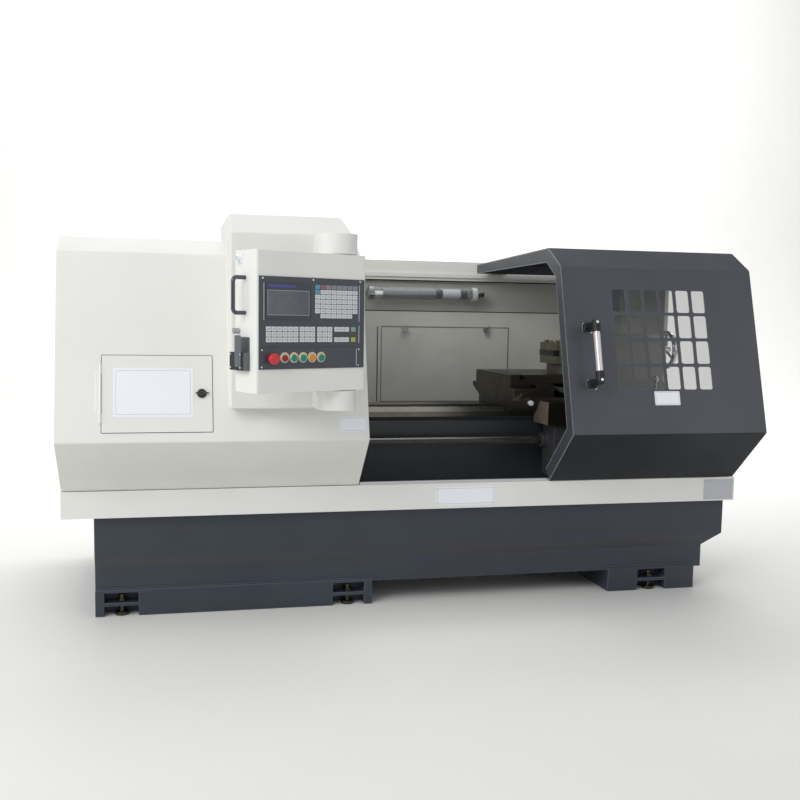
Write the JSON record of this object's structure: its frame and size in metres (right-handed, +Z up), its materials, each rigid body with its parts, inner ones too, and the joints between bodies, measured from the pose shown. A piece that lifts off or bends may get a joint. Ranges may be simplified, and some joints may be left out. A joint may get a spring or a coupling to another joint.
{
  "type": "cnc turning lathe",
  "caption": "Flat-bed turning lathe in a sheet-metal guard with sliding front door, swinging control box, chuck, turret and tailstock.",
  "frame": {"origin": "on the floor below the middle of the machine's bounding box", "axes": "+X along the spindle axis towards the tailstock, +Y to the back of the machine, +Z up"},
  "size_m": [2.82, 1.7364, 1.542],
  "materials": {
    "cream_paint": "smooth warm off-white powder coat",
    "base_paint": "dark blue-grey machine enamel on a casting",
    "door_paint": "charcoal powder coat",
    "inner_paint": "cream powder coat inside the guard",
    "ground_steel": "ground steel",
    "blued_steel": "dark tool steel",
    "cast_iron_paint": "enamelled cast iron",
    "bed_iron": "hardened and ground ways on a painted bed",
    "motor_paint": "dark motor enamel",
    "servo_black": "black servo enamel",
    "belt_rubber": "moulded belt rubber",
    "clear_sheet": "clear polycarbonate sheet",
    "lamp_glass": "frosted glass tube",
    "handle_plastic": "grey moulded plastic",
    "black_plastic": "black moulded plastic",
    "facia_film": "anthracite panel film",
    "key_film": "embossed key film",
    "screen_face": "gloss display window",
    "red_plastic": "moulded red button",
    "green_plastic": "moulded green button",
    "orange_plastic": "moulded orange button",
    "bright_zinc": "bright zinc plate",
    "nylon": "plain nylon"
  },
  "bodies": {
    "frame": {"base_casting": "base_paint", "levelling_feet": "bright_zinc", "chip_tray": "cream_paint", "bed": "bed_iron", "headstock": "cast_iron_paint", "left_guard": "cream_paint", "pillar_cover": "cream_paint", "swivel_brackets": "cream_paint", "swivel_pins": "ground_steel", "rear_guard": "inner_paint", "rear_panel": "inner_paint", "lamp_tube": "lamp_glass", "lamp_holders": "black_plastic", "main_motor": "motor_paint", "drive_belt": "belt_rubber", "long_servo_motor": "servo_black", "screw_bearings": "cast_iron_paint", "door_rails": "ground_steel"},
    "spindle": {"spindle": "ground_steel", "chuck_body": "ground_steel", "spindle_pulley": "blued_steel"},
    "jaw_1": {"chuck_jaw_1": "ground_steel"},
    "jaw_2": {"chuck_jaw_2": "ground_steel"},
    "jaw_3": {"chuck_jaw_3": "ground_steel"},
    "motor_rotor": {"motor_pulley": "blued_steel"},
    "long_screw": {"long_ball_screw": "ground_steel"},
    "carriage": {"saddle": "cast_iron_paint", "apron": "cast_iron_paint", "cross_servo_motor": "servo_black"},
    "cross_screw": {"cross_ball_screw": "ground_steel"},
    "cross_slide": {"cross_slide": "ground_steel", "turret_base": "cast_iron_paint"},
    "turret": {"turret_head": "ground_steel", "turning_tools": "blued_steel"},
    "tailstock": {"tailstock_body": "cast_iron_paint"},
    "tail_wheel": {"tailstock_handwheel": "bright_zinc"},
    "quill": {"tailstock_quill": "ground_steel"},
    "live_centre": {"live_centre": "ground_steel"},
    "tail_lever": {"tailstock_lever": "bright_zinc"},
    "door": {"sliding_door": "door_paint", "window_pane": "clear_sheet", "handle_mounts": "black_plastic", "handle_grip": "handle_plastic", "door_glides": "nylon"},
    "hatch": {"access_door": "cream_paint"},
    "hatch_latch": {"access_latch": "bright_zinc"},
    "control_box": {"control_box": "cream_paint", "control_facia": "facia_film", "screen_unit": "screen_face", "key_field": "key_film", "button_bezels": "bright_zinc", "side_handle": "bright_zinc", "side_hanger": "black_plastic", "side_socket": "black_plastic"},
    "emergency_stop": {"emergency_stop": "red_plastic"},
    "stop_button": {"stop_button": "red_plastic"},
    "start_button": {"start_button": "green_plastic"},
    "hold_button": {"hold_button": "green_plastic"},
    "power_button": {"power_button": "orange_plastic"},
    "cycle_button": {"cycle_button": "green_plastic"}
  },
  "joints": [
    {"name": "spindle_spin", "type": "hinge", "parent": "frame", "child": "spindle", "pos_m": [-0.5, 0.215, 1.04], "axis": [1, 0, 0], "continuous": true},
    {"name": "motor_spin", "type": "hinge", "parent": "frame", "child": "motor_rotor", "pos_m": [-1.07, 0.685, 0.56], "axis": [1, 0, 0], "continuous": true},
    {"name": "jaw_1_slide", "type": "slide", "parent": "spindle", "child": "jaw_1", "axis": [0, 0, 1], "range_m": [-0.026, 0.012]},
    {"name": "jaw_2_slide", "type": "slide", "parent": "spindle", "child": "jaw_2", "axis": [0, -0.866, -0.5], "range_m": [-0.026, 0.012]},
    {"name": "jaw_3_slide", "type": "slide", "parent": "spindle", "child": "jaw_3", "axis": [0, 0.866, -0.5], "range_m": [-0.026, 0.012]},
    {"name": "long_screw_spin", "type": "hinge", "parent": "frame", "child": "long_screw", "pos_m": [0.4, -0.02, 0.645], "axis": [1, 0, 0], "range_deg": [-20880, 2160]},
    {"name": "carriage_slide", "type": "slide", "parent": "frame", "child": "carriage", "axis": [1, 0, 0], "range_m": [-0.58, 0.06]},
    {"name": "cross_screw_spin", "type": "hinge", "parent": "carriage", "child": "cross_screw", "pos_m": [0.683, 0.25, 0.868], "axis": [0, 1, 0], "range_deg": [-14400, 1440]},
    {"name": "cross_slide_travel", "type": "slide", "parent": "carriage", "child": "cross_slide", "axis": [0, 1, 0], "range_m": [-0.2, 0.02]},
    {"name": "turret_index", "type": "hinge", "parent": "cross_slide", "child": "turret", "pos_m": [0.765, 0.095, 1], "axis": [0, 0, 1], "continuous": true},
    {"name": "tailstock_slide", "type": "slide", "parent": "frame", "child": "tailstock", "axis": [1, 0, 0], "range_m": [-0.07, 0.03]},
    {"name": "wheel_spin", "type": "hinge", "parent": "tailstock", "child": "tail_wheel", "pos_m": [1.313, 0.215, 1.04], "axis": [1, 0, 0], "range_deg": [-5040, 2160]},
    {"name": "quill_travel", "type": "slide", "parent": "tailstock", "child": "quill", "axis": [1, 0, 0], "range_m": [-0.07, 0.03]},
    {"name": "centre_spin", "type": "hinge", "parent": "quill", "child": "live_centre", "pos_m": [0.95, 0.215, 1.04], "axis": [1, 0, 0], "continuous": true},
    {"name": "lever_turn", "type": "hinge", "parent": "tailstock", "child": "tail_lever", "pos_m": [1.1818, 0.045, 0.81], "axis": [0, 1, 0], "range_deg": [-60, 60]},
    {"name": "door_slide", "type": "slide", "parent": "frame", "child": "door", "axis": [1, 0, 0], "range_m": [-0.807, 0]},
    {"name": "hatch_hinge", "type": "hinge", "parent": "frame", "child": "hatch", "pos_m": [-1.25, -0.47333, 0.74982], "axis": [0, -0.2653, -0.9642], "range_deg": [0, 110]},
    {"name": "latch_turn", "type": "hinge", "parent": "hatch", "child": "hatch_latch", "pos_m": [-0.891, -0.43152, 0.88559], "axis": [0, 0.9642, -0.2653], "range_deg": [0, 90]},
    {"name": "box_swing", "type": "hinge", "parent": "frame", "child": "control_box", "pos_m": [-0.426, -0.635, 1.153], "axis": [0, 0, 1], "range_deg": [-26, 84]},
    {"name": "emergency_press", "type": "slide", "parent": "control_box", "child": "emergency_stop", "axis": [-0.4384, 0.8988, 0], "range_m": [0, 0.006], "stiffness_N_per_m": 900},
    {"name": "stop_press", "type": "slide", "parent": "control_box", "child": "stop_button", "axis": [-0.4384, 0.8988, 0], "range_m": [0, 0.004], "stiffness_N_per_m": 500},
    {"name": "start_press", "type": "slide", "parent": "control_box", "child": "start_button", "axis": [-0.4384, 0.8988, 0], "range_m": [0, 0.004], "stiffness_N_per_m": 500},
    {"name": "hold_press", "type": "slide", "parent": "control_box", "child": "hold_button", "axis": [-0.4384, 0.8988, 0], "range_m": [0, 0.004], "stiffness_N_per_m": 500},
    {"name": "power_press", "type": "slide", "parent": "control_box", "child": "power_button", "axis": [-0.4384, 0.8988, 0], "range_m": [0, 0.004], "stiffness_N_per_m": 500},
    {"name": "cycle_press", "type": "slide", "parent": "control_box", "child": "cycle_button", "axis": [-0.4384, 0.8988, 0], "range_m": [0, 0.004], "stiffness_N_per_m": 500}
  ],
  "couplings": [
    {"joint": "motor_spin", "follows": "spindle_spin", "ratio": 1.4648},
    {"joint": "jaw_2_slide", "follows": "jaw_1_slide", "ratio": 1},
    {"joint": "jaw_3_slide", "follows": "jaw_1_slide", "ratio": 1},
    {"joint": "long_screw_spin", "follows": "carriage_slide", "rad_per_m": 628.32},
    {"joint": "cross_screw_spin", "follows": "cross_slide_travel", "rad_per_m": 1256.6},
    {"joint": "quill_travel", "follows": "wheel_spin", "m_per_rad": 0.00079577}
  ]
}
